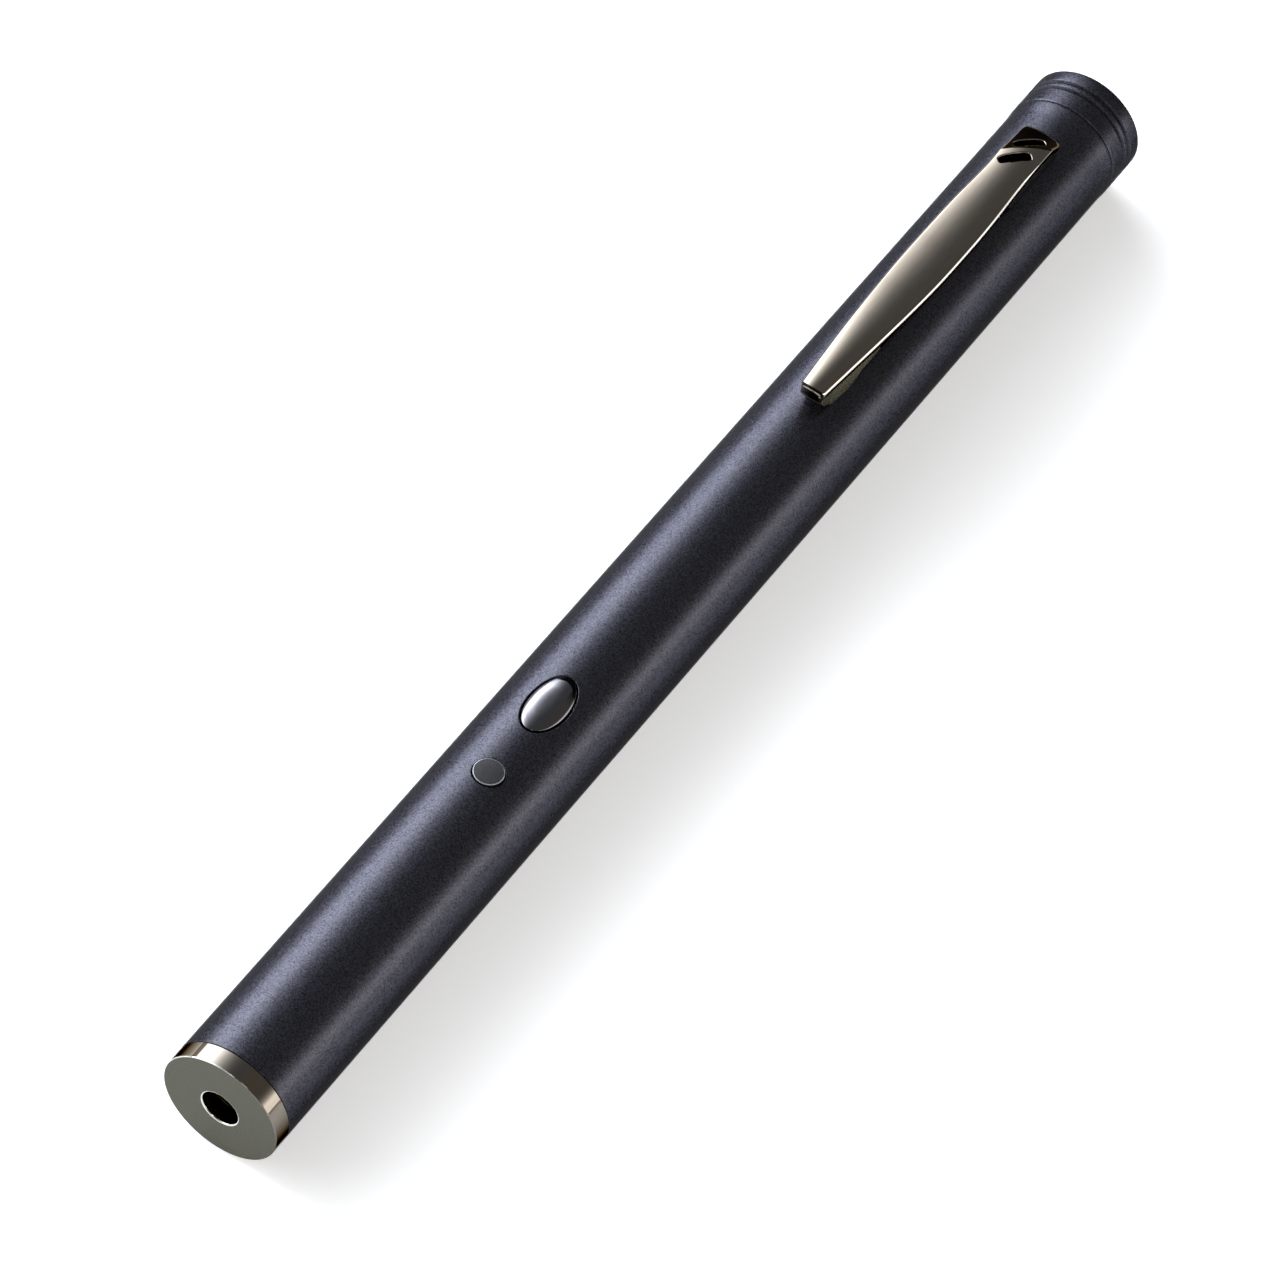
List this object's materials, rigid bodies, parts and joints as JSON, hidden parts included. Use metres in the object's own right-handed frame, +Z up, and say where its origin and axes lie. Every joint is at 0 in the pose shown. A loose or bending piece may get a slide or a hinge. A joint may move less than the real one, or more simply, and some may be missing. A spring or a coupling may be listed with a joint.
{
  "type": "laser pointer",
  "caption": "Pen-shaped laser pointer with a polished nose ring, press button, indicator window, spring pocket clip and a screw-on tail cap over its cells.",
  "frame": {"origin": "on the resting plane under the barrel, half way along the pointer and on its centre plane", "axes": "+X along the barrel towards the front face where the beam leaves, +Z up through the button, window and clip"},
  "size_m": [0.1604, 0.0132, 0.017],
  "materials": {
    "barrel_finish": "satin, finely blasted dark blue-black",
    "nose_metal": "mirror-polished dark nickel, with a matte front face",
    "clip_metal": "mirror-polished dark warm nickel",
    "button_plastic": "glossy black",
    "window_plastic": "frosted smoky translucent",
    "module_brass": "turned",
    "dark_plastic": "moulded black",
    "dark_metal": "blackened",
    "lens_glass": "polished",
    "spring_steel": "drawn wire",
    "diode_metal": "gold-plated",
    "carrier_plastic": "moulded off-white",
    "board_laminate": "green solder mask",
    "contact_metal": "nickel-plated",
    "trimmer_body": "moulded blue",
    "resistor_body": "black glaze on ceramic",
    "led_body": "moulded white",
    "capacitor_body": "moulded amber",
    "plunger_plastic": "moulded light grey",
    "cell_jacket": "printed plain jacket",
    "cell_steel": "nickel-plated"
  },
  "bodies": {
    "pointer": {"barrel": "barrel_finish", "nose_ring": "nose_metal", "indicator_window": "window_plastic", "module_housing": "module_brass", "module_holder": "dark_plastic", "lens_ring": "dark_metal", "collimating_lens": "lens_glass", "lens_spring": "spring_steel", "laser_diode": "diode_metal", "board_carrier": "carrier_plastic", "driver_board": "board_laminate", "ground_strip": "contact_metal", "power_trimmer": "trimmer_body", "driver_chip": "dark_plastic", "resistor_left": "resistor_body", "resistor_right": "resistor_body", "indicator_led": "led_body", "capacitor": "capacitor_body", "switch_body": "dark_plastic", "positive_contact": "contact_metal", "cell_front": "cell_jacket", "cell_front_terminal": "cell_steel", "cell_rear": "cell_jacket", "cell_rear_terminal": "cell_steel"},
    "button": {"push_button": "button_plastic", "switch_plunger": "plunger_plastic"},
    "clip": {"pocket_clip": "clip_metal"},
    "tail_carrier": {"tail_spring": "spring_steel"},
    "tail": {"tail_cap": "barrel_finish", "tail_contact": "contact_metal"}
  },
  "joints": [
    {"name": "button_press", "type": "slide", "parent": "pointer", "child": "button", "axis": [0, 0, -1], "range_m": [0, 0.0005], "stiffness_N_per_m": 1500, "springref_m": -0.0003},
    {"name": "clip_flex", "type": "hinge", "parent": "pointer", "child": "clip", "pos_m": [-0.06857, 0, 0.0131], "axis": [0, -1, 0], "range_deg": [0, 4], "stiffness_Nm_per_rad": 0.6, "springref_deg": -2.86},
    {"name": "tail_slide", "type": "slide", "parent": "pointer", "child": "tail_carrier", "axis": [-1, 0, 0], "range_m": [0, 0.00262]},
    {"name": "tail_turn", "type": "hinge", "parent": "tail_carrier", "child": "tail", "pos_m": [-0.077, 0, 0.0066], "axis": [-1, 0, 0], "range_deg": [0, 1260]}
  ],
  "couplings": [
    {"joint": "tail_turn", "follows": "tail_slide", "rad_per_m": 8377.6}
  ]
}
